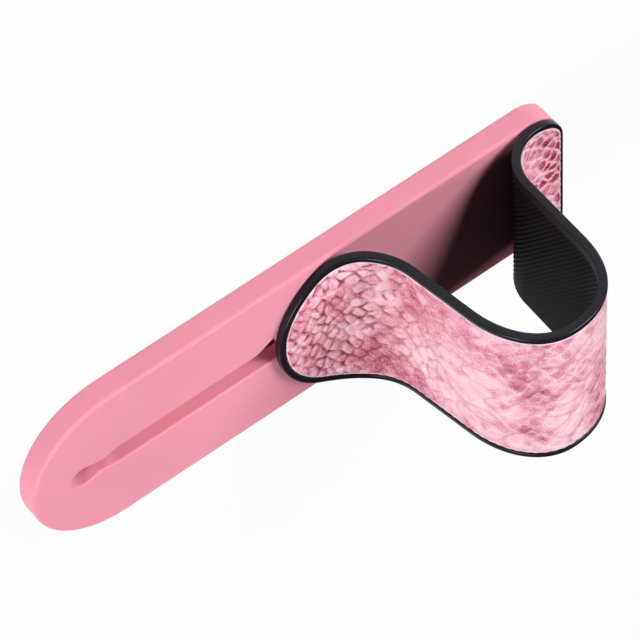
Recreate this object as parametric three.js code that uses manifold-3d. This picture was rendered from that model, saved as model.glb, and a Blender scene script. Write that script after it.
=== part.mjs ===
// Phone finger strap: a flat stick-on bar carrying an arched rubber strap.
// Millimetres, +Z up. The bar lies on its back, +X runs from the slot end to
// the fixed end, and the origin is at the middle of the footprint.
import * as THREE from 'three';
import Module from 'manifold-3d';

const wasm = await Module();
wasm.setup();

// Bar outline: a full round at the slot end, small corners at the fixed end.
const BAR_LENGTH = 80;
const BAR_WIDTH = 25;
const BAR_THICK = 3.3;
const BAR_EDGE = 0.5;
const FAR_CORNER = 4.5;
const HALF = BAR_WIDTH / 2;
const X0 = -BAR_LENGTH / 2;
const FAR_END = X0 + BAR_LENGTH;

// Adhesive pad on the back.
const PAD_THICK = 0.4;
const PAD_INSET = 1.6;

// Heights of the bar's back and front faces.
const BACK_Z = PAD_THICK;
const FRONT_Z = BACK_Z + BAR_THICK;

// Channel behind the front skin, closed by a thin plate let into the back.
const FRONT_SKIN = 2;
const CHANNEL_WIDTH = 7.2;
const CHANNEL_START = X0 + 3;
const CHANNEL_END = FAR_END - 1.7;
const CHANNEL_CORNER = 1.5;
const COVER_THICK = 0.5;
const COVER_LAP = 1;
const END_LAP = 0.6;
const COVER_GAP = 0.25;

// Slot: a small round bulb, a narrow neck, then a straight run that flares on
// one side just before it passes under the strap.
const SLOT_HALF = 1.5;
const NECK_HALF = 1;
const BULB_HALF = 1.6;
const BULB_X = X0 + 7.2;
const NECK_X = X0 + 10.1;
const RUN_X = X0 + 13;
const FLARE_X = X0 + 32.4;
const FLARE_HALF = 3.2;
const SLOT_END = X0 + 44;

// Strap: one rubber moulding, arched between its two flat feet, a little
// wider at the near foot than at the far one.
const STRAP_THICK = 1.15;
const NEAR_HALF = 13.2;
const FAR_HALF = 12.4;
const NEAR_TIP = X0 + 36.6;
const NEAR_BEND = X0 + 41.75;
const NEAR_RADIUS = 9.4;
const NEAR_LEAN = THREE.MathUtils.degToRad(80.4);
const CROWN_START_Z = BACK_Z + 20.85;
const CROWN_X = X0 + 60.95;
const CROWN_Z = BACK_Z + 29.85;
const FAR_BEND = FAR_END - 4.05;
const FAR_RADIUS = 6.1;
const FAR_LEAN = THREE.MathUtils.degToRad(89.5);
const FAR_TOP_Z = BACK_Z + 20.25;
const STEP_ANGLE = THREE.MathUtils.degToRad(8);
const CROWN_STEPS = 11;

// How far each bend of the crown keeps its direction: leaving the near flank,
// on both sides of the top, and reaching the far flank.
const NEAR_PULL = 4.4;
const TOP_NEAR_PULL = 4.75;
const TOP_FAR_PULL = 4.55;
const FAR_PULL = 7.2;

// Raised rim around the outer face, thin at the far tip, and the skin inside it.
const RIM_WIDTH = 0.85;
const TIP_RIM = 0.25;
const RECESS = 0.45;
const SKIN_THICK = 0.3;
const SKIN_LIFT = 0.05;
const SKIN_GAP = 0.12;

// Slider shoe in the channel and fixed stud at the other foot.
const STEM_RADIUS = 0.85;
const STEM_X = X0 + 40;
const SHOE_LENGTH = 5;
const FLANGE_THICK = 0.5;
const FLANGE_WIDTH = 6.4;
const FLANGE_CORNER = 1.2;
const FLANGE_PLAY = 0.15;
const STEM_PLAY = 0.1;
const STUD_X = FAR_END - 3.4;
const STUD_HOLE = 1.25;
const STUD_LENGTH = 3;

// Plan outline of the bar, inset by a distance.
function barOutline(inset) {
  const r = HALF - inset;
  const c = FAR_CORNER - inset;
  const right = FAR_END - inset;
  const shape = new THREE.Shape();
  shape.moveTo(X0 + HALF, -r);
  shape.lineTo(right - c, -r);
  shape.absarc(right - c, -r + c, c, -Math.PI / 2, 0, false);
  shape.lineTo(right, r - c);
  shape.absarc(right - c, r - c, c, 0, Math.PI / 2, false);
  shape.lineTo(X0 + HALF, r);
  shape.absarc(X0 + HALF, 0, r, Math.PI / 2, 3 * Math.PI / 2, false);
  return shape;
}

// Rectangle with rounded ends or corners.
function roundedBox(x0, x1, half, radius) {
  const shape = new THREE.Shape();
  shape.moveTo(x0 + radius, -half);
  shape.lineTo(x1 - radius, -half);
  shape.absarc(x1 - radius, -half + radius, radius, -Math.PI / 2, 0, false);
  shape.lineTo(x1, half - radius);
  shape.absarc(x1 - radius, half - radius, radius, 0, Math.PI / 2, false);
  shape.lineTo(x0 + radius, half);
  shape.absarc(x0 + radius, half - radius, radius, Math.PI / 2, Math.PI, false);
  shape.lineTo(x0, -half + radius);
  shape.absarc(x0 + radius, -half + radius, radius, Math.PI, 3 * Math.PI / 2, false);
  return shape;
}

function slotOutline() {
  const shape = new THREE.Shape();
  const tip = BULB_X - BULB_HALF;
  const bow = BULB_HALF * 0.552;
  shape.moveTo(tip, 0);
  shape.bezierCurveTo(tip, -bow, BULB_X - bow, -BULB_HALF, BULB_X, -BULB_HALF);
  const a = (NECK_X + BULB_X) / 2;
  shape.bezierCurveTo(a, -BULB_HALF, a, -NECK_HALF, NECK_X, -NECK_HALF);
  const b = (RUN_X + NECK_X) / 2;
  shape.bezierCurveTo(b, -NECK_HALF, b, -SLOT_HALF, RUN_X, -SLOT_HALF);
  shape.lineTo(SLOT_END - SLOT_HALF, -SLOT_HALF);
  shape.absarc(SLOT_END - SLOT_HALF, 0, SLOT_HALF, -Math.PI / 2, Math.PI / 2, false);
  const c = FLARE_X + 2 * (SLOT_END - FLARE_X) / 3;
  shape.bezierCurveTo(c, FLARE_HALF, c - 1, FLARE_HALF, FLARE_X + 4.4, FLARE_HALF);
  shape.bezierCurveTo(FLARE_X + 2.6, FLARE_HALF - 0.4, FLARE_X + 2, SLOT_HALF, FLARE_X, SLOT_HALF);
  shape.lineTo(RUN_X, SLOT_HALF);
  shape.bezierCurveTo(b, SLOT_HALF, b, NECK_HALF, NECK_X, NECK_HALF);
  shape.bezierCurveTo(a, NECK_HALF, a, BULB_HALF, BULB_X, BULB_HALF);
  shape.bezierCurveTo(BULB_X - bow, BULB_HALF, tip, bow, tip, 0);
  return shape;
}

// Straight block of a plan shape between two heights.
function slab(shape, z0, z1, steps) {
  const g = new THREE.ExtrudeGeometry(shape, {
    depth: z1 - z0,
    bevelEnabled: false,
    curveSegments: steps,
  });
  g.translate(0, 0, z0);
  return g;
}

function toManifold(geometry) {
  const p = geometry.getAttribute('position');
  const seen = new Map();
  const verts = [];
  const tris = [];
  const order = geometry.index ? geometry.index.array : p.array.map((_, i) => i);
  const total = geometry.index ? geometry.index.count : p.count;
  for (let i = 0; i < total; i += 1) {
    const k = order[i];
    const q = [p.getX(k), p.getY(k), p.getZ(k)];
    const key = q.map((v) => Math.round(v * 1e4)).join();
    if (!seen.has(key)) {
      seen.set(key, verts.length / 3);
      verts.push(...q);
    }
    tris.push(seen.get(key));
  }
  const keep = [];
  for (let i = 0; i < tris.length; i += 3) {
    const [a, b, c] = tris.slice(i, i + 3);
    if (a !== b && b !== c && c !== a) keep.push(a, b, c);
  }
  return new wasm.Manifold(new wasm.Mesh({
    numProp: 3,
    vertProperties: new Float32Array(verts),
    triVerts: new Uint32Array(keep),
  }));
}

function toGeometry(manifold) {
  const m = manifold.getMesh();
  const g = new THREE.BufferGeometry();
  g.setAttribute('position', new THREE.BufferAttribute(new Float32Array(m.vertProperties), 3));
  g.setIndex(new THREE.BufferAttribute(new Uint32Array(m.triVerts), 1));
  g.computeVertexNormals();
  return g;
}

function material(color, roughness) {
  return new THREE.MeshStandardMaterial({ color, roughness, metalness: 0 });
}

function mesh(name, geometry, color, roughness) {
  const m = new THREE.Mesh(geometry, material(color, roughness));
  m.name = name;
  return m;
}

// Bar with rounded edges, less its channel, cover recess, slot and stud hole.
function baseBar() {
  const body = new THREE.ExtrudeGeometry(barOutline(BAR_EDGE), {
    depth: BAR_THICK - 2 * BAR_EDGE,
    bevelEnabled: true,
    bevelThickness: BAR_EDGE,
    bevelSize: BAR_EDGE,
    bevelSegments: 3,
    curveSegments: 14,
  });
  body.translate(0, 0, BACK_Z + BAR_EDGE);
  const half = CHANNEL_WIDTH / 2;
  const channelTop = FRONT_Z - FRONT_SKIN;
  const channel = roundedBox(CHANNEL_START, CHANNEL_END, half, CHANNEL_CORNER);
  const lap = coverOutline(0);
  const hole = new THREE.Shape();
  hole.absarc(STUD_X, 0, STUD_HOLE, 0, 2 * Math.PI, false);
  let bar = toManifold(body);
  bar = bar.subtract(toManifold(slab(lap, BACK_Z - 1, BACK_Z + COVER_THICK, 6)));
  bar = bar.subtract(toManifold(slab(channel, BACK_Z, channelTop, 6)));
  bar = bar.subtract(toManifold(slab(slotOutline(), BACK_Z + COVER_THICK, FRONT_Z + 1, 7)));
  bar = bar.subtract(toManifold(slab(hole, BACK_Z + COVER_THICK, FRONT_Z + 1, 8)));
  return toGeometry(bar);
}

// Outline of the plate that closes the channel, inset by its running gap.
function coverOutline(inset) {
  const x0 = CHANNEL_START - END_LAP + inset;
  const x1 = CHANNEL_END + END_LAP - inset;
  const half = CHANNEL_WIDTH / 2 + COVER_LAP - inset;
  return roundedBox(x0, x1, half, CHANNEL_CORNER);
}

// Centre line of the strap in the XZ plane, from the near tip to the far tip.
function strapPath() {
  const z0 = FRONT_Z + STRAP_THICK / 2;
  const pts = [];
  const put = (x, z) => pts.push(new THREE.Vector2(x, z));
  put(NEAR_TIP, z0);
  const rise = (x, r, angle) => [x + r * Math.sin(angle), z0 + r * (1 - Math.cos(angle))];
  const near = Math.ceil(NEAR_LEAN / STEP_ANGLE);
  for (let i = 0; i <= near; i += 1) put(...rise(NEAR_BEND, NEAR_RADIUS, NEAR_LEAN * i / near));
  const last = pts[pts.length - 1];
  const run = (CROWN_START_Z - last.y) / Math.tan(NEAR_LEAN);
  const a = new THREE.Vector2(last.x + run, CROWN_START_Z);
  const top = new THREE.Vector2(CROWN_X, CROWN_Z);
  const up = new THREE.Vector2(Math.cos(NEAR_LEAN), Math.sin(NEAR_LEAN));
  const left = new THREE.CubicBezierCurve(
    a,
    a.clone().addScaledVector(up, NEAR_PULL),
    new THREE.Vector2(CROWN_X - TOP_NEAR_PULL, CROWN_Z),
    top,
  );
  const far = Math.ceil(FAR_LEAN / STEP_ANGLE);
  const foot = rise(FAR_BEND, -FAR_RADIUS, FAR_LEAN);
  foot[1] = z0 + FAR_RADIUS * (1 - Math.cos(FAR_LEAN));
  const b = new THREE.Vector2(foot[0] - (FAR_TOP_Z - foot[1]) / Math.tan(FAR_LEAN), FAR_TOP_Z);
  const right = new THREE.CubicBezierCurve(
    top,
    new THREE.Vector2(CROWN_X + TOP_FAR_PULL, CROWN_Z),
    new THREE.Vector2(b.x - FAR_PULL * Math.cos(FAR_LEAN), FAR_TOP_Z + FAR_PULL),
    b,
  );
  left.getPoints(CROWN_STEPS).forEach((p) => put(p.x, p.y));
  right.getPoints(CROWN_STEPS).slice(1).forEach((p) => put(p.x, p.y));
  for (let i = far; i >= 0; i -= 1) {
    const t = FAR_LEAN * i / far;
    put(FAR_BEND - FAR_RADIUS * Math.sin(t), z0 + FAR_RADIUS * (1 - Math.cos(t)));
  }
  put(FAR_END, z0);
  return pts;
}

const PATH = strapPath();
const RUN = [0];
for (let i = 1; i < PATH.length; i += 1) RUN.push(RUN[i - 1] + PATH[i].distanceTo(PATH[i - 1]));
const STRAP_LENGTH = RUN[RUN.length - 1];

// Point and outward normal of the centre line at a distance along it.
function along(s) {
  let i = 1;
  while (i < RUN.length - 1 && RUN[i] < s) i += 1;
  const t = (s - RUN[i - 1]) / (RUN[i] - RUN[i - 1]);
  const p = PATH[i - 1].clone().lerp(PATH[i], t);
  const dir = (k) => PATH[k].clone().sub(PATH[k - 1]).normalize();
  const here = dir(i);
  const before = i > 1 ? dir(i - 1).add(here).normalize() : here;
  const after = i < PATH.length - 1 ? dir(i + 1).add(here).normalize() : here;
  const d = before.clone().lerp(after, t).normalize();
  return { p, n: new THREE.Vector2(-d.y, d.x) };
}

// Inset of an outline at the far tip, where the rim is thin.
function tipInset(inset) {
  return Math.max(0, inset - RIM_WIDTH + TIP_RIM);
}

// Half width of the strap's flat outline, inset by a distance, or 0 outside it.
function halfWidth(s, inset) {
  const side = NEAR_HALF + (FAR_HALF - NEAR_HALF) * s / STRAP_LENGTH - inset;
  const c = FAR_CORNER - inset;
  const corner = tipInset(inset) + c;
  const end = STRAP_LENGTH - s;
  if (s < NEAR_HALF) {
    const u = (NEAR_HALF - s) / (NEAR_HALF - inset);
    return side * Math.sqrt(Math.max(0, 1 - u * u));
  }
  if (end < corner) return side - c + Math.sqrt(Math.max(0, c * c - (corner - end) ** 2));
  return side;
}

// First and last distance of an inset outline: both ends are cut square there.
function reach(inset) {
  const r = NEAR_HALF - inset;
  return [NEAR_HALF - r * Math.cos(STEP_ANGLE), STRAP_LENGTH - tipInset(inset)];
}

// Distances along the strap where a cross section is placed: the ends and
// curves of each inset outline, and every bend of the centre line.
function stations(...insets) {
  const ends = insets.flatMap(reach);
  const list = [...RUN];
  insets.forEach((inset) => {
    const r = NEAR_HALF - inset;
    const c = FAR_CORNER - inset;
    const corner = STRAP_LENGTH - tipInset(inset) - c;
    for (let k = 2; k <= 10; k += 1) list.push(NEAR_HALF - r * Math.cos(k * Math.PI / 20));
    for (let k = 1; k <= 5; k += 1) list.push(corner + c * Math.cos(k * Math.PI / 10));
  });
  const [s0, s1] = reach(insets[0]);
  const clear = (s) => s > s0 && s < s1 && ends.every((e) => Math.abs(s - e) > 0.1);
  const inner = list.filter(clear).sort((p, q) => p - q);
  const spaced = inner.filter((s, i) => i === 0 || s - inner[i - 1] > 0.05);
  return [...ends, ...spaced].sort((p, q) => p - q);
}

class Skin {
  constructor() {
    this.v = [];
    this.f = [];
  }

  point(s, y, n) {
    const a = along(s);
    this.v.push(a.p.x + a.n.x * n, y, a.p.y + a.n.y * n);
    return this.v.length / 3 - 1;
  }

  quad(a, b, c, d) {
    this.f.push(a, b, c, a, c, d);
  }

  tri(a, b, c) {
    this.f.push(a, b, c);
  }

  geometry() {
    const g = new THREE.BufferGeometry();
    g.setAttribute('position', new THREE.BufferAttribute(new Float32Array(this.v), 3));
    g.setIndex(this.f);
    g.computeVertexNormals();
    return g;
  }
}

// Rubber strap: plain at its tips, with the recess for the skin in between.
function strapBody() {
  const half = STRAP_THICK / 2;
  const floor = half - RECESS;
  const [r0, r1] = reach(RIM_WIDTH);
  const list = stations(0, RIM_WIDTH);
  const g = new Skin();
  const rows = list.map((s) => {
    const w = halfWidth(s, 0);
    const row = { s, low: [], top: [], rim: null, floor: null };
    row.low = [g.point(s, -w, -half), g.point(s, w, -half)];
    row.top = [g.point(s, -w, half), g.point(s, w, half)];
    if (s >= r0 && s <= r1) {
      const q = halfWidth(s, RIM_WIDTH);
      row.rim = [g.point(s, -q, half), g.point(s, q, half)];
      row.floor = [g.point(s, -q, floor), g.point(s, q, floor)];
    }
    return row;
  });
  rows.slice(1).forEach((b, i) => {
    const a = rows[i];
    g.quad(a.low[0], a.low[1], b.low[1], b.low[0]);
    g.quad(a.low[0], b.low[0], b.top[0], a.top[0]);
    g.quad(a.low[1], a.top[1], b.top[1], b.low[1]);
    if (a.rim && b.rim) {
      g.quad(a.top[0], b.top[0], b.rim[0], a.rim[0]);
      g.quad(a.rim[1], b.rim[1], b.top[1], a.top[1]);
      g.quad(a.rim[0], b.rim[0], b.floor[0], a.floor[0]);
      g.quad(a.floor[1], b.floor[1], b.rim[1], a.rim[1]);
      g.quad(a.floor[0], b.floor[0], b.floor[1], a.floor[1]);
    } else if (b.rim) {
      g.tri(a.top[0], b.top[0], b.rim[0]);
      g.quad(a.top[0], b.rim[0], b.rim[1], a.top[1]);
      g.tri(a.top[1], b.rim[1], b.top[1]);
      g.quad(b.rim[0], b.floor[0], b.floor[1], b.rim[1]);
    } else if (a.rim) {
      g.tri(a.top[0], b.top[0], a.rim[0]);
      g.quad(a.rim[0], b.top[0], b.top[1], a.rim[1]);
      g.tri(a.rim[1], b.top[1], a.top[1]);
      g.quad(a.rim[0], a.rim[1], a.floor[1], a.floor[0]);
    } else {
      g.quad(a.top[0], b.top[0], b.top[1], a.top[1]);
    }
  });
  const first = rows[0];
  const last = rows[rows.length - 1];
  g.quad(first.low[1], first.low[0], first.top[0], first.top[1]);
  g.quad(last.low[0], last.low[1], last.top[1], last.top[0]);
  return g.geometry();
}

// Faux snakeskin inlay lying in the recess.
function strapSkin() {
  const inset = RIM_WIDTH + SKIN_GAP;
  const n0 = STRAP_THICK / 2 - RECESS + SKIN_LIFT;
  const n1 = n0 + SKIN_THICK;
  const g = new Skin();
  const rows = stations(inset).map((s) => {
    const w = halfWidth(s, inset);
    return [g.point(s, -w, n0), g.point(s, w, n0), g.point(s, w, n1), g.point(s, -w, n1)];
  });
  rows.slice(1).forEach((b, i) => {
    const a = rows[i];
    for (let k = 0; k < 4; k += 1) {
      const m = (k + 1) % 4;
      g.quad(a[k], a[m], b[m], b[k]);
    }
  });
  const first = rows[0];
  const last = rows[rows.length - 1];
  g.quad(first[3], first[2], first[1], first[0]);
  g.quad(last[0], last[1], last[2], last[3]);
  return g.geometry();
}

// Flat flange in the channel with a round stem up to the strap's foot.
function tee(x, length, radius) {
  const z1 = FRONT_Z - FRONT_SKIN - FLANGE_PLAY;
  const z0 = z1 - FLANGE_THICK;
  const half = length / 2;
  const plan = roundedBox(x - half, x + half, FLANGE_WIDTH / 2, FLANGE_CORNER);
  const flange = slab(plan, z0, z1, 5);
  const stem = new THREE.CylinderGeometry(radius, radius, FRONT_Z - z0 - STEM_PLAY, 24);
  stem.rotateX(Math.PI / 2);
  stem.translate(x, 0, (FRONT_Z + z0 + STEM_PLAY) / 2);
  return toGeometry(toManifold(flange).add(toManifold(stem)));
}

const part = new THREE.Group();
part.name = 'phone_finger_strap';
part.add(mesh('base_bar', baseBar(), 0xf29aae, 0.4));
const cover = slab(coverOutline(COVER_GAP), BACK_Z, BACK_Z + COVER_THICK, 6);
part.add(mesh('channel_cover', cover, 0xf29aae, 0.5));
part.add(mesh('adhesive_pad', slab(barOutline(PAD_INSET), 0, BACK_Z, 14), 0xdcd6d2, 0.8));
part.add(mesh('strap_body', strapBody(), 0x2b2b30, 0.5));
part.add(mesh('strap_skin', strapSkin(), 0xd98aa4, 0.5));
part.add(mesh('slider_shoe', tee(STEM_X, SHOE_LENGTH, STEM_RADIUS), 0x2b2b30, 0.5));
part.add(mesh('anchor_stud', tee(STUD_X, STUD_LENGTH, STEM_RADIUS), 0x2b2b30, 0.5));

export default part;
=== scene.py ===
# Phone finger strap: stick-on bar with a slot, arched rubber strap, snakeskin face
import math
import random

import bmesh
import bpy
from mathutils import Euler, Matrix, Vector, kdtree, noise
from mathutils.geometry import interpolate_bezier


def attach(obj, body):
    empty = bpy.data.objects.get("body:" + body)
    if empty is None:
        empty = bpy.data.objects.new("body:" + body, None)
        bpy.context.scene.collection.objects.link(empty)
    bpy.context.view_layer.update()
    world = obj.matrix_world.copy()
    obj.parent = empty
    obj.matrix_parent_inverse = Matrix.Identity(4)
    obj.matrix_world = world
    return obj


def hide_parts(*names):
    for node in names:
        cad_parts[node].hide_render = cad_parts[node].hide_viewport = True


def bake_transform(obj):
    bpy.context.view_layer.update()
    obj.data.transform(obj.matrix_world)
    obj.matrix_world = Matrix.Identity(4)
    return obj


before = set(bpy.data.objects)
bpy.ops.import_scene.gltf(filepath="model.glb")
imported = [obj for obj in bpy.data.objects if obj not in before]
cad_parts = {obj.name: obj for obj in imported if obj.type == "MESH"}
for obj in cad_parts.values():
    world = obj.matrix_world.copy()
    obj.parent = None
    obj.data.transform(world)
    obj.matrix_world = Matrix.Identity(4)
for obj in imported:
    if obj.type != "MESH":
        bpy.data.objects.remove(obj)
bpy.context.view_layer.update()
mm = 0.001

cameraView = {
    "place": (-0.1721719, 0.4607777, 0.2656165),
    "turn": (-53.82069, -37.28327, -3.07718),
    "lens": 257.587,
}


def addCamera():
    lens = bpy.data.cameras.new("photoLens")
    lens.lens = cameraView["lens"]
    lens.clip_start = 0.01
    lens.clip_end = 20
    camera = bpy.data.objects.new("photoCamera", lens)
    camera.location = cameraView["place"]
    camera.rotation_euler = Euler([math.radians(a) for a in cameraView["turn"]], "XYZ")
    bpy.context.collection.objects.link(camera)
    bpy.context.scene.camera = camera


addCamera()
print("camera ready")


# every piece is shaped in millimetres and scaled to metres here
def newPiece(name, bm, sharpAngle=40):
    bmesh.ops.scale(bm, vec=(mm, mm, mm), verts=bm.verts)
    mesh = bpy.data.meshes.new(name)
    bm.to_mesh(mesh)
    bm.free()
    for face in mesh.polygons:
        face.use_smooth = True
    mesh.set_sharp_from_angle(angle=math.radians(sharpAngle))
    piece = bpy.data.objects.new(name, mesh)
    bpy.context.collection.objects.link(piece)
    return piece


def roundEdges(bm, edges, width, segments=3):
    return bmesh.ops.bevel(
        bm, geom=edges, offset=width, offset_type="OFFSET", affect="EDGES",
        segments=segments, profile=0.5, material=-1, clamp_overlap=True,
    )


def roundCorners(bm, corners, radius, segments):
    bmesh.ops.bevel(
        bm, geom=corners, offset=radius, offset_type="OFFSET", affect="VERTICES",
        segments=segments, profile=0.5, material=-1, clamp_overlap=False,
    )


def raiseFace(bm, low, high):
    bmesh.ops.translate(bm, vec=(0, 0, low), verts=bm.verts)
    grown = bmesh.ops.extrude_face_region(bm, geom=bm.faces[:])["geom"]
    top = [g for g in grown if isinstance(g, bmesh.types.BMVert)]
    bmesh.ops.translate(bm, vec=(0, 0, high - low), verts=top)
    bmesh.ops.recalc_face_normals(bm, faces=bm.faces)


# flat plate with one pair of corner radii at each end
def roundedPlate(left, right, half, leftRadius, rightRadius, leftSteps=32, rightSteps=12):
    bm = bmesh.new()
    bmesh.ops.create_grid(bm, x_segments=1, y_segments=1, size=1)
    middle = Matrix.Translation(((left + right) / 2, 0, 0))
    size = Matrix.Diagonal(((right - left) / 2, half, 1, 1))
    bmesh.ops.transform(bm, matrix=middle @ size, verts=bm.verts)
    roundCorners(bm, [v for v in bm.verts if v.co.x < middle[0][3]], leftRadius, leftSteps)
    bmesh.ops.remove_doubles(bm, verts=bm.verts, dist=1e-4)
    corners = [v for v in bm.verts if v.co.x > right - 1e-4]
    roundCorners(bm, corners, rightRadius, rightSteps)
    bmesh.ops.remove_doubles(bm, verts=bm.verts, dist=1e-4)
    return bm


def edgesAt(bm, height):
    return [e for e in bm.edges if all(abs(v.co.z - height) < 1e-3 for v in e.verts)]


def cutAway(bm, cutters):
    target = newBlank("cutTarget", bm)
    for cutter in cutters:
        tool = newBlank("cutTool", cutter)
        step = target.modifiers.new("cut", "BOOLEAN")
        step.operation = "DIFFERENCE"
        step.solver = "EXACT"
        step.object = tool
        shape = bpy.data.meshes.new_from_object(
            target.evaluated_get(bpy.context.evaluated_depsgraph_get())
        )
        target.modifiers.remove(step)
        target.data = shape
        bpy.data.objects.remove(tool)
    left = bmesh.new()
    left.from_mesh(target.data)
    bpy.data.objects.remove(target)
    return left


def newBlank(name, bm):
    mesh = bpy.data.meshes.new(name)
    bm.to_mesh(mesh)
    bm.free()
    piece = bpy.data.objects.new(name, mesh)
    bpy.context.collection.objects.link(piece)
    return piece


barSize = {
    "left": -40, "right": 40, "half": 12.5, "back": 0.4, "front": 3.7,
    "edge": 0.5, "farCorner": 4.5,
    "channelLeft": -37, "channelRight": 38.3, "channelHalf": 3.6, "channelTop": 1.7,
    "channelCorner": 1.5, "coverThick": 0.5, "coverLap": 1, "endLap": 0.6,
    "studX": 36.6, "studHole": 1.25, "slotEdge": 0.3,
}
slotSize = {
    "half": 1.5, "neck": 1, "bulb": 1.6, "bulbX": -32.8, "neckX": -29.9,
    "runX": -27, "flareX": -7.6, "flareHalf": 3.2, "end": 4, "steps": 14,
}


def slotOutline():
    q = slotSize
    tip = q["bulbX"] - q["bulb"]
    bow = q["bulb"] * 0.552
    a = (q["neckX"] + q["bulbX"]) / 2
    b = (q["runX"] + q["neckX"]) / 2
    c = q["flareX"] + 2 * (q["end"] - q["flareX"]) / 3
    e = q["end"] - q["half"]
    end = q["half"] * 0.552
    spans = [
        ((tip, 0), (tip, -bow), (q["bulbX"] - bow, -q["bulb"]), (q["bulbX"], -q["bulb"])),
        ((q["bulbX"], -q["bulb"]), (a, -q["bulb"]), (a, -q["neck"]), (q["neckX"], -q["neck"])),
        ((q["neckX"], -q["neck"]), (b, -q["neck"]), (b, -q["half"]), (q["runX"], -q["half"])),
        ((e, -q["half"]), (e + end, -q["half"]), (q["end"], -end), (q["end"], 0)),
        ((q["end"], 0), (q["end"], end), (e + end, q["half"]), (e, q["half"])),
        ((e, q["half"]), (c, q["flareHalf"]), (c - 1, q["flareHalf"]),
         (q["flareX"] + 4.4, q["flareHalf"])),
        ((q["flareX"] + 4.4, q["flareHalf"]), (q["flareX"] + 2.6, q["flareHalf"] - 0.4),
         (q["flareX"] + 2, q["half"]), (q["flareX"], q["half"])),
        ((q["runX"], q["half"]), (b, q["half"]), (b, q["neck"]), (q["neckX"], q["neck"])),
        ((q["neckX"], q["neck"]), (a, q["neck"]), (a, q["bulb"]), (q["bulbX"], q["bulb"])),
        ((q["bulbX"], q["bulb"]), (q["bulbX"] - bow, q["bulb"]), (tip, bow), (tip, 0)),
    ]
    bm = bmesh.new()
    ring = []
    for span in spans:
        knots = [Vector((x, y, 0)) for x, y in span]
        ring += [bm.verts.new(p) for p in interpolate_bezier(*knots, q["steps"])]
    bm.faces.new(ring)
    bmesh.ops.remove_doubles(bm, verts=bm.verts, dist=1e-3)
    return bm


def makeBar():
    q = barSize
    bm = roundedPlate(q["left"], q["right"], q["half"], q["half"], q["farCorner"], 40, 12)
    raiseFace(bm, q["back"], q["front"])
    rims = edgesAt(bm, q["back"]) + edgesAt(bm, q["front"])
    roundEdges(bm, rims, q["edge"], 6)
    recess = roundedPlate(
        q["channelLeft"] - q["endLap"], q["channelRight"] + q["endLap"],
        q["channelHalf"] + q["coverLap"], q["channelCorner"], q["channelCorner"], 8, 8,
    )
    raiseFace(recess, q["back"] - 1, q["back"] + q["coverThick"])
    channel = roundedPlate(
        q["channelLeft"], q["channelRight"], q["channelHalf"],
        q["channelCorner"], q["channelCorner"], 8, 8,
    )
    raiseFace(channel, q["back"], q["channelTop"])
    slot = slotOutline()
    raiseFace(slot, q["back"] + q["coverThick"], q["front"] + 1)
    hole = bmesh.new()
    bmesh.ops.create_circle(hole, cap_ends=True, segments=32, radius=q["studHole"])
    bmesh.ops.translate(hole, vec=(q["studX"], 0, 0), verts=hole.verts)
    raiseFace(hole, q["back"] + q["coverThick"], q["front"] + 1)
    bm = cutAway(bm, [recess, channel, slot, hole])
    bmesh.ops.remove_doubles(bm, verts=bm.verts, dist=1e-4)

    def onSlot(e):
        walls = [f for f in e.link_faces if abs(f.normal.z) < 0.1]
        x = (e.verts[0].co.x + e.verts[1].co.x) / 2
        return len(walls) == 1 and abs(e.verts[0].co.y) < 6 and x < slotSize["end"] + 1

    roundEdges(bm, [e for e in edgesAt(bm, q["front"]) if onSlot(e)], q["slotEdge"], 4)
    bar = newPiece("bar", bm, 35)
    flat = bar.modifiers.new("flatFaces", "WEIGHTED_NORMAL")
    flat.keep_sharp = True
    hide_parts("base_bar")
    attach(bar, "bar")
    return bar


bar = makeBar()
print("bar made", len(bar.data.polygons))


strapSize = {
    "thick": 1.15, "nearHalf": 13.2, "farHalf": 12.4, "farCorner": 4.5,
    "front": 3.7, "back": 0.4,
    "nearTip": -4.1, "nearBend": 1.75, "nearRadius": 9.4, "nearLean": 80.4,
    "crownStart": 20.85, "crownX": 20.95, "crownHeight": 29.85,
    "nearPull": 4.4, "topNearPull": 4.75, "topFarPull": 4.55, "farPull": 7.2,
    "farBend": 35.95, "farRadius": 6.1, "farLean": 89.5, "farTop": 20.25, "farTip": 40,
    "rim": 0.85, "tipRim": 0.25, "recess": 0.45, "outerEdge": 0.24, "innerEdge": 0.12,
    "underEdge": 0.1, "lipSlope": 0.03, "step": 0.4,
}


# x and z of the strap's centre line, from the near tip to the far tip
def strapPath():
    q = strapSize
    z0 = q["front"] + q["thick"] / 2
    lean = math.radians(q["nearLean"])
    lean2 = math.radians(q["farLean"])
    path = [(q["nearTip"], z0)]
    count = 40
    for i in range(count + 1):
        t = lean * i / count
        path.append((
            q["nearBend"] + q["nearRadius"] * math.sin(t),
            z0 + q["nearRadius"] * (1 - math.cos(t)),
        ))
    start = q["crownStart"] + q["back"]
    a = Vector((path[-1][0] + (start - path[-1][1]) / math.tan(lean), start))
    top = Vector((q["crownX"], q["crownHeight"] + q["back"]))
    up = Vector((math.cos(lean), math.sin(lean)))
    left = interpolate_bezier(
        a, a + up * q["nearPull"], top - Vector((q["topNearPull"], 0)), top, count
    )
    footX = q["farBend"] - q["farRadius"] * math.sin(lean2)
    footZ = z0 + q["farRadius"] * (1 - math.cos(lean2))
    high = q["farTop"] + q["back"]
    b = Vector((footX - (high - footZ) / math.tan(lean2), high))
    away = Vector((b.x - q["farPull"] * math.cos(lean2), high + q["farPull"]))
    right = interpolate_bezier(top, top + Vector((q["topFarPull"], 0)), away, b, count)
    path += [tuple(p[:2]) for p in left] + [tuple(p[:2]) for p in right[1:]]
    for i in range(count, -1, -1):
        t = lean2 * i / count
        path.append((
            q["farBend"] - q["farRadius"] * math.sin(t),
            z0 + q["farRadius"] * (1 - math.cos(t)),
        ))
    path.append((q["farTip"], z0))
    return [Vector(p) for p in path]


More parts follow.
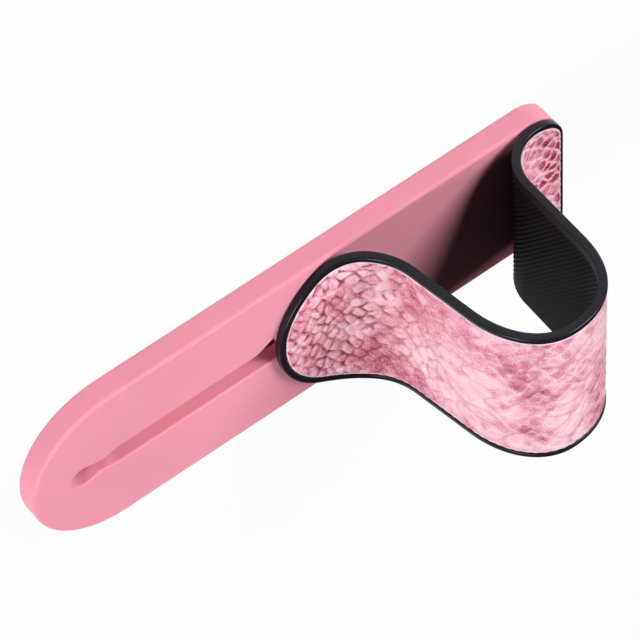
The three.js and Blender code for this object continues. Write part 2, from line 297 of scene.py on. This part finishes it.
pathPoints = strapPath()
pathRun = [0]
for before, after in zip(pathPoints, pathPoints[1:]):
    pathRun.append(pathRun[-1] + (after - before).length)
strapLength = pathRun[-1]


def pathSpot(s):
    low, high = 0, len(pathRun) - 1
    while high - low > 1:
        middle = (low + high) // 2
        if pathRun[middle] <= s:
            low = middle
        else:
            high = middle
    span = pathRun[high] - pathRun[low]
    t = (s - pathRun[low]) / span

    def heading(k):
        return (pathPoints[k + 1] - pathPoints[k]).normalized()

    here = heading(low)
    before = (heading(low - 1) + here).normalized() if low > 0 else here
    after = (heading(low + 1) + here).normalized() if high < len(pathRun) - 1 else here
    way = before.lerp(after, t).normalized()
    return pathPoints[low].lerp(pathPoints[high], t), Vector((-way.y, way.x))


# bends a flat shape, laid out along x, over the path
def layOnPath(bm):
    for v in bm.verts:
        place, out = pathSpot(v.co.x)
        n = v.co.z
        v.co = Vector((place.x + out.x * n, v.co.y, place.y + out.y * n))


def cutEvery(bm, faces, direction, start, stop, step):
    at = start
    while at < stop:
        geom = set()
        for f in faces():
            geom.add(f)
            geom.update(f.edges)
            geom.update(f.verts)
        bmesh.ops.bisect_plane(
            bm, geom=list(geom), dist=1e-4,
            plane_co=direction * at, plane_no=direction,
        )
        at += step


ribSize = {
    "angle": 54, "pitch": 0.56, "depth": 0.13, "border": 1.3, "clear": 0.25,
    "fade": 0.5, "sideFade": 0.3, "dullShade": 0.6,
}


# draws the flat shape in towards the far foot
def taper(verts):
    q = strapSize
    for v in verts:
        v.y *= 1 - (1 - q["farHalf"] / q["nearHalf"]) * v.x / strapLength


# carries an inset outline out to the thin rim at the far tip
def thinTip(verts, inset):
    q = strapSize
    reach = q["farCorner"] + 1
    for v in verts:
        part = min(1, max(0, (v.x - strapLength + reach) / (reach - inset)))
        v.x += (q["rim"] - q["tipRim"]) * part * part


def makeStrap():
    q = strapSize
    half = q["thick"] / 2
    bm = roundedPlate(0, strapLength, q["nearHalf"], q["nearHalf"], q["farCorner"], 40, 12)
    raiseFace(bm, -half, half)
    roundEdges(bm, edgesAt(bm, half), q["outerEdge"], 3)
    roundEdges(bm, edgesAt(bm, -half), q["underEdge"], 2)
    top = max((f for f in bm.faces if f.normal.z > 0.9), key=lambda f: f.calc_area())
    bmesh.ops.inset_region(bm, faces=[top], thickness=q["rim"] - q["outerEdge"])
    lip = list(top.edges)
    bmesh.ops.inset_region(bm, faces=[top], thickness=q["lipSlope"], depth=-q["recess"])
    rounded = roundEdges(bm, lip, q["innerEdge"], 2)
    thinTip([v.co for v in set(rounded["verts"]) | set(top.verts)], q["rim"])
    taper([v.co for v in bm.verts])
    inner = bm.faces.layers.int.new("inner")
    for f in bm.faces:
        f[inner] = 1 if f.normal.z < -0.9 and f.calc_area() > 100 else 0
    turn = math.radians(ribSize["angle"])
    across = Vector((math.sin(turn), math.cos(turn), 0))
    start = -q["nearHalf"] * across.y
    reach = strapLength * across.x - start
    cutEvery(
        bm, lambda: [f for f in bm.faces if f[inner]], across,
        start, reach, ribSize["pitch"] / 4,
    )
    cutEvery(bm, lambda: bm.faces, Vector((1, 0, 0)), q["step"], strapLength, q["step"])
    ribbedShade = bm.verts.layers.float.new("ribbedShade")
    for v in bm.verts:
        if abs(v.co.z + half) > 1e-4:
            continue
        place, out = pathSpot(v.co.x)
        height = place.y - out.y * half - q["front"]
        clear = min(1, max(0, (height - ribSize["clear"]) / ribSize["fade"]))
        border = q["farHalf"] - ribSize["border"]
        side = min(1, max(0, (border - v.co.y) / ribSize["sideFade"]))
        phase = ((v.co.dot(across) - start) / ribSize["pitch"]) % 1
        valley = 0.5 + 0.5 * math.cos(2 * math.pi * phase)
        v.co.z += ribSize["depth"] * valley * clear * side
        # inner-face mask: rougher ribs, and a darker colour that is painted shade; it stays at the
        # dullness share where the ribs fade out
        v[ribbedShade] = ribSize["dullShade"] + (1 - ribSize["dullShade"]) * clear * side
    layOnPath(bm)
    strap = newPiece("strap", bm, 50)
    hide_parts("strap_body")
    return strap


strap = makeStrap()
print("strap made", len(strap.data.polygons))

# a scale's length is given at places along the sheet, its width is a share of that
skinSize = {
    "gap": 0.12, "lift": 0.05, "thick": 0.3, "grid": 0.17, "wallStep": 0.4,
    "edgeDrop": 0.1, "edgeReach": 0.25, "rimReach": 0.5,
    "scaleLong": ((0, 2.1), (14, 2.3), (30, 3.0), (44, 1.9), (74, 1.8), (86, 2.6), (100, 2.6)),
    "scaleWide": 1.16, "jitter": 0.2, "roundness": 1.4, "seed": 7,
    "rows": 20, "firstColumn": -4, "lastColumn": 59, "reach": 110,
    "sway": ((0.16, 1.1), (0.5, 0.3)), "domeReach": 0.55, "domeLevel": 0.6,
    "footLength": 17, "footStart": 1.6, "farLength": 14, "footRelief": 0.34, "softRelief": 0.08,
    "foldAlong": (0.14, 0.08), "foldAcross": (-0.1, 0.3), "foldReach": 0.1, "wrinkleDepth": 0.1,
}


# keeps what lies inside a convex outline
def trimTo(bm, outline):
    for i, p in enumerate(outline):
        along = outline[(i + 1) % len(outline)] - p
        if along.length < 1e-6:
            continue
        away = Vector((along.y, -along.x, 0)).normalized()
        bmesh.ops.bisect_plane(
            bm, geom=bm.verts[:] + bm.edges[:] + bm.faces[:], dist=1e-4,
            plane_co=p, plane_no=away, clear_outer=True,
        )


def scaleLength(x):
    stops = skinSize["scaleLong"]
    for (a, low), (b, high) in zip(stops, stops[1:]):
        if x <= b or b == stops[-1][0]:
            return low + (high - low) * min(1, (x - a) / (b - a))


# staggered rows of rounded diamond scales, each centre a little off its place
class ScaleRows:
    def __init__(self):
        q = skinSize
        draw = random.Random(q["seed"])
        self.spots = {}
        for row in range(-q["rows"], q["rows"] + 1):
            for column in range(q["firstColumn"], q["lastColumn"] + 1):
                side = draw.uniform(-1, 1) * q["jitter"]
                up = draw.uniform(-1, 1) * q["jitter"] * 2
                self.spots[row, column] = (side, up, draw.random())
        # scales passed at each whole millimetre
        self.passed = [0]
        for x in range(1, q["reach"]):
            self.passed.append(self.passed[-1] + 1 / scaleLength(x))

    # distance in from the scale's edge, and the scale's own tone
    def at(self, x, y):
        q = skinSize
        step = max(0, math.floor(x))
        before, here, after = self.passed[step:step + 3]
        part = x - step
        u = before + part * (here - before)
        density = (here - before) * (1 - part) + (after - here) * part
        v = 2 * y * density / q["scaleWide"]
        power = q["roundness"]
        found = []
        for row in range(math.floor(v) - 1, math.floor(v) + 3):
            shift = 0.5 if row % 2 else 0
            for column in range(math.floor(u - shift), math.floor(u - shift) + 2):
                side, up, tone = self.spots[row, column]
                du = abs(u - column - shift - side) * 2
                dv = abs(v - row - up)
                found.append(((du ** power + dv ** power) ** (1 / power), tone))
        found.sort()
        return (found[1][0] - found[0][0]) / 2, found[0][1]


def skinOutline(inset):
    q = strapSize
    wide = q["nearHalf"] - inset
    guide = roundedPlate(
        inset, strapLength - inset, wide, wide, q["farCorner"] - inset, 36, 10
    )
    outline = [v.co.copy() for v in guide.faces[:][0].verts]
    guide.free()
    thinTip(outline, inset)
    taper(outline)
    return outline


# points along the outline, to find how far in a place lies
def rimFence(outline):
    points = []
    for i, p in enumerate(outline):
        after = outline[(i + 1) % len(outline)]
        parts = max(1, min(400, int((after - p).length / 0.2)))
        points += [p.lerp(after, k / parts) for k in range(parts)]
    fence = kdtree.KDTree(len(points))
    for i, p in enumerate(points):
        fence.insert(p, i)
    fence.balance()
    return fence


def makeSkin():
    q = skinSize
    inset = strapSize["rim"] + q["gap"]
    low = strapSize["thick"] / 2 - strapSize["recess"] + q["lift"]
    outline = skinOutline(inset)
    wide = max(p.y for p in outline)
    left, right = min(p.x for p in outline), max(p.x for p in outline)
    bm = bmesh.new()
    bmesh.ops.create_grid(
        bm, x_segments=int((right - left) / q["grid"]), y_segments=int(2 * wide / q["grid"]),
        size=1,
    )
    size = Matrix.Diagonal(((right - left) / 2 + 0.01, wide + 0.01, 1, 1))
    centre = Matrix.Translation(((left + right) / 2, 0, 0))
    bmesh.ops.transform(bm, matrix=centre @ size, verts=bm.verts)
    trimTo(bm, outline)
    bmesh.ops.remove_doubles(bm, verts=bm.verts, dist=0.01)
    flatArea = sum(f.calc_area() for f in bm.faces)
    under = bm.faces.layers.int.new("under")
    top = low + q["thick"]
    bmesh.ops.translate(bm, vec=(0, 0, top), verts=bm.verts)
    rim = [e for e in bm.edges if e.is_boundary]
    walls = bmesh.ops.extrude_edge_only(bm, edges=rim)["geom"]
    foot = [g for g in walls if isinstance(g, bmesh.types.BMVert)]
    bmesh.ops.translate(bm, vec=(0, 0, -q["thick"]), verts=foot)
    base = bmesh.ops.contextual_create(
        bm, geom=[g for g in walls if isinstance(g, bmesh.types.BMEdge)]
    )["faces"]
    bmesh.ops.recalc_face_normals(bm, faces=bm.faces)
    for f in base:
        f[under] = 1
    cutEvery(
        bm, lambda: [f for f in bm.faces if f[under]], Vector((1, 0, 0)),
        left + q["wallStep"], right, q["wallStep"],
    )
    layers = {
        name: bm.verts.layers.float.new(name)
        for name in ("scaleTone", "scaleEdge", "skinRim", "wrinkle")
    }
    uv = bm.loops.layers.uv.new("flatLay")
    for f in bm.faces:
        for loop in f.loops:
            loop[uv].uv = (loop.vert.co.x / strapLength, loop.vert.co.y / strapLength + 0.5)
    fence = rimFence(outline)
    rows = ScaleRows()
    noise.seed_set(q["seed"])
    (along, alongTilt), (acrossTilt, across) = q["foldAlong"], q["foldAcross"]
    for v in bm.verts:
        x, y = v.co.x, v.co.y
        flat = Vector((x, y, 0))
        (slow, far), (quick, near) = q["sway"]
        sway = noise.noise_vector(flat * slow) * far + noise.noise_vector(flat * quick) * near
        inside, tone = rows.at(x + sway.x, y + sway.y)
        rimDistance = fence.find(flat)[2]
        fold = noise.noise(Vector((
            x * along + y * alongTilt, y * across + x * acrossTilt, 5,
        )))
        creaseAndShade = max(0, 1 - abs(fold) / q["foldReach"]) ** 2
        ease = min(1, rimDistance / q["rimReach"])
        v[layers["scaleTone"]] = tone
        v[layers["scaleEdge"]] = min(1, inside)
        v[layers["skinRim"]] = ease
        v[layers["wrinkle"]] = creaseAndShade
        if v.co.z > top - 0.05:
            foot = min(1, max(0, q["footStart"] - x / q["footLength"]))
            farFoot = min(1, max(0, 1 - (strapLength - x) / q["farLength"]))
            deep = q["softRelief"] + (q["footRelief"] - q["softRelief"]) * max(foot, farFoot)
            dome = 1 - (1 - min(1, inside / q["domeReach"])) ** 2
            v.co.z += (dome - q["domeLevel"]) * deep * ease
            v.co.z -= creaseAndShade * q["wrinkleDepth"] * ease * (1 - foot)
            v.co.z -= max(0, 1 - rimDistance / q["edgeReach"]) ** 2 * q["edgeDrop"]
    layOnPath(bm)
    skin = newPiece("skin", bm, 70)
    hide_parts("strap_skin")
    print("skin sheet", round(2 * wide, 2), round(right - left, 2), round(flatArea, 1))
    return skin


skin = makeSkin()
print("skin made", len(skin.data.polygons))

# on the real strap the near foot follows the slider and the far foot stays on the bar; here strap
# and skin only have their placement baked into their meshes
for piece in (strap, skin):
    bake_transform(piece)


def colour(r, g, b):
    def linear(c):
        c /= 255
        return c / 12.92 if c < 0.04045 else ((c + 0.055) / 1.055) ** 2.4
    return (linear(r), linear(g), linear(b), 1)


class Nodes:
    def __init__(self, tree):
        self.tree = tree

    def add(self, kind, **settings):
        node = self.tree.nodes.new(kind)
        inputs = settings.pop("inputs", {})
        for key, value in settings.items():
            setattr(node, key, value)
        for key, value in inputs.items():
            if isinstance(value, bpy.types.NodeSocket):
                self.tree.links.new(value, node.inputs[key])
            else:
                node.inputs[key].default_value = value
        return node


def newMaterial(name):
    material = bpy.data.materials.new(name)
    material.use_nodes = True
    nodes = Nodes(material.node_tree)
    shader = material.node_tree.nodes["Principled BSDF"]
    return material, nodes, shader


def grainGroup():
    tree = bpy.data.node_groups.new("fineGrain", "ShaderNodeTree")
    face = tree.interface
    face.new_socket("Size", in_out="INPUT", socket_type="NodeSocketFloat").default_value = 4000
    face.new_socket("Patch", in_out="INPUT", socket_type="NodeSocketFloat").default_value = 120
    face.new_socket("Height", in_out="OUTPUT", socket_type="NodeSocketFloat")
    face.new_socket("Cloud", in_out="OUTPUT", socket_type="NodeSocketFloat")
    nodes = Nodes(tree)
    given = nodes.add("NodeGroupInput")
    place = nodes.add("ShaderNodeTexCoord")
    fine = nodes.add("ShaderNodeTexNoise", inputs={
        "Vector": place.outputs["Object"], "Scale": given.outputs["Size"], "Detail": 3.0})
    wide = nodes.add("ShaderNodeTexNoise", inputs={
        "Vector": place.outputs["Object"], "Scale": given.outputs["Patch"], "Detail": 3.0})
    out = nodes.add("NodeGroupOutput")
    tree.links.new(fine.outputs["Fac"], out.inputs["Height"])
    tree.links.new(wide.outputs["Fac"], out.inputs["Cloud"])
    return tree


fineGrain = grainGroup()


def useGrain(nodes, size, patch):
    group = nodes.add("ShaderNodeGroup", node_tree=fineGrain)
    group.inputs["Size"].default_value = size
    group.inputs["Patch"].default_value = patch
    return group


def mixColours(nodes, mask, first, second):
    mix = nodes.add("ShaderNodeMix", data_type="RGBA")
    sockets = [s for s in mix.inputs if s.type == "RGBA"]
    for socket, value in zip(sockets, (first, second)):
        if isinstance(value, bpy.types.NodeSocket):
            nodes.tree.links.new(value, socket)
        else:
            socket.default_value = value
    nodes.tree.links.new(mask, mix.inputs["Factor"])
    return [s for s in mix.outputs if s.type == "RGBA"][0]


def spread(nodes, value, low, high, newLow, newHigh):
    return nodes.add("ShaderNodeMapRange", inputs={
        "Value": value, "From Min": low, "From Max": high,
        "To Min": newLow, "To Max": newHigh}).outputs["Result"]


# colours are in 0 to 255, grain sizes in waves per metre, reaches in metres
barLook = {
    "main": (233, 151, 170), "deep": (229, 147, 167), "roughness": 0.55, "gloss": 0.15,
    "grain": 2600, "bump": 0.2,
    "soft": 0.5, "softColours": (1, 0.4, 0.45), "softReach": 0.0015,
}
padLook = {
    "main": (222, 216, 210), "deep": (205, 198, 190), "roughness": 0.85, "gloss": 0.5,
    "grain": 900, "bump": 0.8,
}
# the ribs colour is painted shade: the loop's inner face is drawn darker than the rim
rubberLook = {
    "rim": (28, 24, 34), "deep": (22, 19, 28), "shadedRibs": (7, 5, 11), "gloss": 0.25,
    "rimRoughness": 0.3, "ribRoughness": 0.75, "grain": 3000, "bump": 0.2,
}
patchGrain = 90
grainReach = 0.00005


def finishShader(nodes, shader, tint, rough, height, strength, reach):
    lift = nodes.add("ShaderNodeBump", inputs={
        "Strength": strength, "Distance": reach, "Height": height})
    nodes.tree.links.new(tint, shader.inputs["Base Color"])
    nodes.tree.links.new(rough, shader.inputs["Roughness"])
    nodes.tree.links.new(lift.outputs["Normal"], shader.inputs["Normal"])


def plasticMaterial(name, look):
    material, nodes, shader = newMaterial(name)
    shader.inputs["Specular IOR Level"].default_value = look["gloss"]
    if "soft" in look:
        shader.inputs["Subsurface Weight"].default_value = look["soft"]
        shader.inputs["Subsurface Radius"].default_value = look["softColours"]
        shader.inputs["Subsurface Scale"].default_value = look["softReach"]
    grain = useGrain(nodes, look["grain"], patchGrain)
    cloud = spread(nodes, grain.outputs["Cloud"], 0.35, 0.65, 0, 1)
    tint = mixColours(nodes, cloud, colour(*look["main"]), colour(*look["deep"]))
    rough = spread(
        nodes, grain.outputs["Cloud"], 0.3, 0.7, look["roughness"] - 0.04, look["roughness"] + 0.05
    )
    height = grain.outputs["Height"]
    finishShader(nodes, shader, tint, rough, height, look["bump"], grainReach)
    return material


# the ribbed inner face is duller than the smooth rim, and its darker colour is painted shade for
# the inside of the loop
def rubberMaterial():
    look = rubberLook
    material, nodes, shader = newMaterial("blackRubber")
    shader.inputs["Specular IOR Level"].default_value = look["gloss"]
    shadedRibs = nodes.add("ShaderNodeAttribute", attribute_name="ribbedShade").outputs["Fac"]
    grain = useGrain(nodes, look["grain"], patchGrain)
    cloud = spread(nodes, grain.outputs["Cloud"], 0.35, 0.65, 0, 1)
    smooth = mixColours(nodes, cloud, colour(*look["rim"]), colour(*look["deep"]))
    # painted shade: the inner face takes the darker ribs colour
    tint = mixColours(nodes, shadedRibs, smooth, colour(*look["shadedRibs"]))
    rough = spread(nodes, shadedRibs, 0, 1, look["rimRoughness"], look["ribRoughness"])
    height = grain.outputs["Height"]
    finishShader(nodes, shader, tint, rough, height, look["bump"], grainReach)
    return material


# tones run from pale to deep, pattern sizes are in waves per strap length
skinLook = {
    "tones": (
        (0.05, (252, 208, 219)), (0.32, (241, 178, 195)), (0.62, (218, 134, 157)),
        (1.0, (150, 50, 78)),
    ),
    # crack: partly the skin's dark print, partly painted shade in the grooves between scales
    # crease: painted shade along the folds
    "net": (249, 210, 221), "crackAndShade": (146, 38, 70), "creaseAndShade": (172, 78, 106),
    "cutEdge": (248, 222, 230), "gloss": 0.25, "bump": 0.5, "bumpReach": 0.00012,
    "patch": 8, "cluster": 13, "broken": 30, "drift": 46, "uneven": 52, "fleck": 420,
}


def skinMaterial():
    look = skinLook
    material, nodes, shader = newMaterial("snakeskinFace")
    shader.inputs["Specular IOR Level"].default_value = look["gloss"]

    def read(name):
        return nodes.add("ShaderNodeAttribute", attribute_name=name).outputs["Fac"]

    def work(operation, first, second):
        node = nodes.add("ShaderNodeMath", operation=operation, inputs={0: first, 1: second})
        return node.outputs[0]

    def plus(first, second):
        return work("ADD", first, second)

    def minus(first, second):
        return work("SUBTRACT", first, second)

    def times(first, second):
        return work("MULTIPLY", first, second)

    laid = nodes.add("ShaderNodeUVMap", uv_map="flatLay").outputs["UV"]

    def cloud(scale, detail, twist=0.0):
        return nodes.add("ShaderNodeTexNoise", inputs={
            "Vector": laid, "Scale": scale, "Detail": detail, "Distortion": twist,
        }).outputs["Fac"]

    tone, edge, rim, fold = [read(n) for n in ("scaleTone", "scaleEdge", "skinRim", "wrinkle")]
    along = nodes.add("ShaderNodeSeparateXYZ", inputs={"Vector": laid}).outputs["X"]
    foot = spread(nodes, along, 0.14, 0.4, 1, 0)
    far = spread(nodes, along, 0.82, 0.9, 0, 1)
    patches = spread(nodes, cloud(look["patch"], 3, 0.6), 0.36, 0.66, 0, 0.6)
    flecks = spread(nodes, cloud(look["fleck"], 3), 0.3, 0.7, -0.3, 0.3)
    drift = spread(nodes, cloud(look["drift"], 3, 0.8), 0.3, 0.7, -0.18, 0.2)
    cell = spread(nodes, tone, 0, 1, -0.08, 0.2)
    middle = spread(nodes, edge, 0.1, 0.8, -0.06, 0.12)
    bold = times(far, spread(nodes, cloud(look["cluster"], 2), 0.42, 0.56, 0.05, 0.72))
    bold = times(bold, spread(nodes, edge, 0.12, 0.3, 0, 1))
    depth = plus(plus(plus(patches, flecks), plus(drift, cell)), plus(middle, bold))
    ramp = nodes.add("ShaderNodeValToRGB", inputs={"Fac": depth})
    stops = ramp.color_ramp.elements
    first, *between, last = look["tones"]
    for stop, (place, shade) in zip(list(stops), (first, last)):
        stop.position, stop.color = place, colour(*shade)
    for place, shade in between:
        stops.new(place).color = colour(*shade)
    line = times(spread(nodes, edge, 0.0, 0.17, 0.8, 0), minus(1.0, foot))
    line = times(line, spread(nodes, cloud(look["broken"], 2, 0.5), 0.4, 0.6, 0.05, 1))
    netted = mixColours(nodes, line, ramp.outputs["Color"], colour(*look["net"]))
    # crack colour in the grooves between the near foot's domed scales: partly the skin's dark
    # print, partly painted shade in the grooves
    crackAndShade = times(spread(nodes, edge, 0.05, 0.3, 1, 0), foot)
    crackAndShade = times(crackAndShade, spread(nodes, cloud(look["uneven"], 3, 0.6), 0.36, 0.6, 0.08, 1))
    crackedAndShaded = mixColours(nodes, crackAndShade, netted, colour(*look["crackAndShade"]))
    # the crease colour along the folds is painted shade
    creasedAndShaded = mixColours(nodes, times(fold, 0.42), crackedAndShaded, colour(*look["creaseAndShade"]))
    cutEdge = spread(nodes, rim, 0.2, 0.6, 1, 0)
    tint = mixColours(nodes, cutEdge, creasedAndShaded, colour(*look["cutEdge"]))
    grain = cloud(look["fleck"], 3)
    rough = spread(nodes, grain, 0.3, 0.7, 0.46, 0.66)
    finishShader(nodes, shader, tint, rough, grain, look["bump"], look["bumpReach"])
    return material


def setMaterial(piece, material):
    piece.data.materials.clear()
    piece.data.materials.append(material)


pinkPlastic = plasticMaterial("pinkPlastic", barLook)
blackRubber = rubberMaterial()
padFoam = plasticMaterial("padFoam", padLook)
setMaterial(bar, pinkPlastic)
setMaterial(strap, blackRubber)
setMaterial(skin, skinMaterial())
for node, material in (
    ("channel_cover", pinkPlastic), ("adhesive_pad", padFoam),
    ("slider_shoe", pinkPlastic), ("anchor_stud", blackRubber),
):
    setMaterial(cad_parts[node], material)
print("materials set")


floorLook = {"reach": 1500, "drop": 0.02, "shade": 0.7, "roughness": 0.7, "glow": 0.95}


# the floor glows for the camera and in reflections, and its own share shows the shadow
def makeFloor():
    q = floorLook
    bm = bmesh.new()
    bmesh.ops.create_grid(bm, x_segments=8, y_segments=8, size=q["reach"])
    bmesh.ops.translate(bm, vec=(0, 0, -q["drop"]), verts=bm.verts)
    floor = newPiece("floor", bm)
    material, nodes, shader = newMaterial("paleFloor")
    shader.inputs["Base Color"].default_value = (q["shade"], q["shade"], q["shade"], 1)
    shader.inputs["Roughness"].default_value = q["roughness"]
    glow = nodes.add("ShaderNodeEmission")
    glow.inputs["Strength"].default_value = 1
    path = nodes.add("ShaderNodeLightPath")
    seen = path.outputs["Is Camera Ray"]
    for ray in ("Is Glossy Ray", "Is Transmission Ray"):
        either = {0: seen, 1: path.outputs[ray]}
        seen = nodes.add("ShaderNodeMath", operation="MAXIMUM", inputs=either).outputs[0]
    share = nodes.add("ShaderNodeMath", operation="MULTIPLY", inputs={0: seen, 1: q["glow"]})
    mix = nodes.add("ShaderNodeMixShader", inputs={"Fac": share.outputs[0]})
    nodes.tree.links.new(shader.outputs[0], mix.inputs[1])
    nodes.tree.links.new(glow.outputs[0], mix.inputs[2])
    end = nodes.tree.nodes["Material Output"]
    nodes.tree.links.new(mix.outputs[0], end.inputs["Surface"])
    setMaterial(floor, material)


# places and sizes in metres, power in watts
softboxes = {
    "keyBox": {"place": (0.42, 0.5, 0.5), "size": 0.36, "power": 7.0},
    "leftBox": {"place": (-0.67, 0, 0.4), "size": 0.28, "power": 5.4},
}
lampAim = Vector((0, 0, 0.01))
airGlow = 0.05


def addSoftbox(name, place, size, power):
    data = bpy.data.lights.new(name, "AREA")
    data.shape = "SQUARE"
    data.size = size
    data.energy = power
    lamp = bpy.data.objects.new(name, data)
    lamp.location = place
    lamp.rotation_euler = (lampAim - Vector(place)).to_track_quat("-Z", "Y").to_euler()
    bpy.context.collection.objects.link(lamp)


makeFloor()
for name, values in softboxes.items():
    addSoftbox(name, **values)
world = bpy.data.worlds.new("studioAir")
bpy.context.scene.world = world
world.use_nodes = True
air = world.node_tree.nodes["Background"]
air.inputs["Color"].default_value = (1, 1, 1, 1)
air.inputs["Strength"].default_value = airGlow
bpy.context.scene.view_settings.view_transform = "Standard"
print("stage lit")
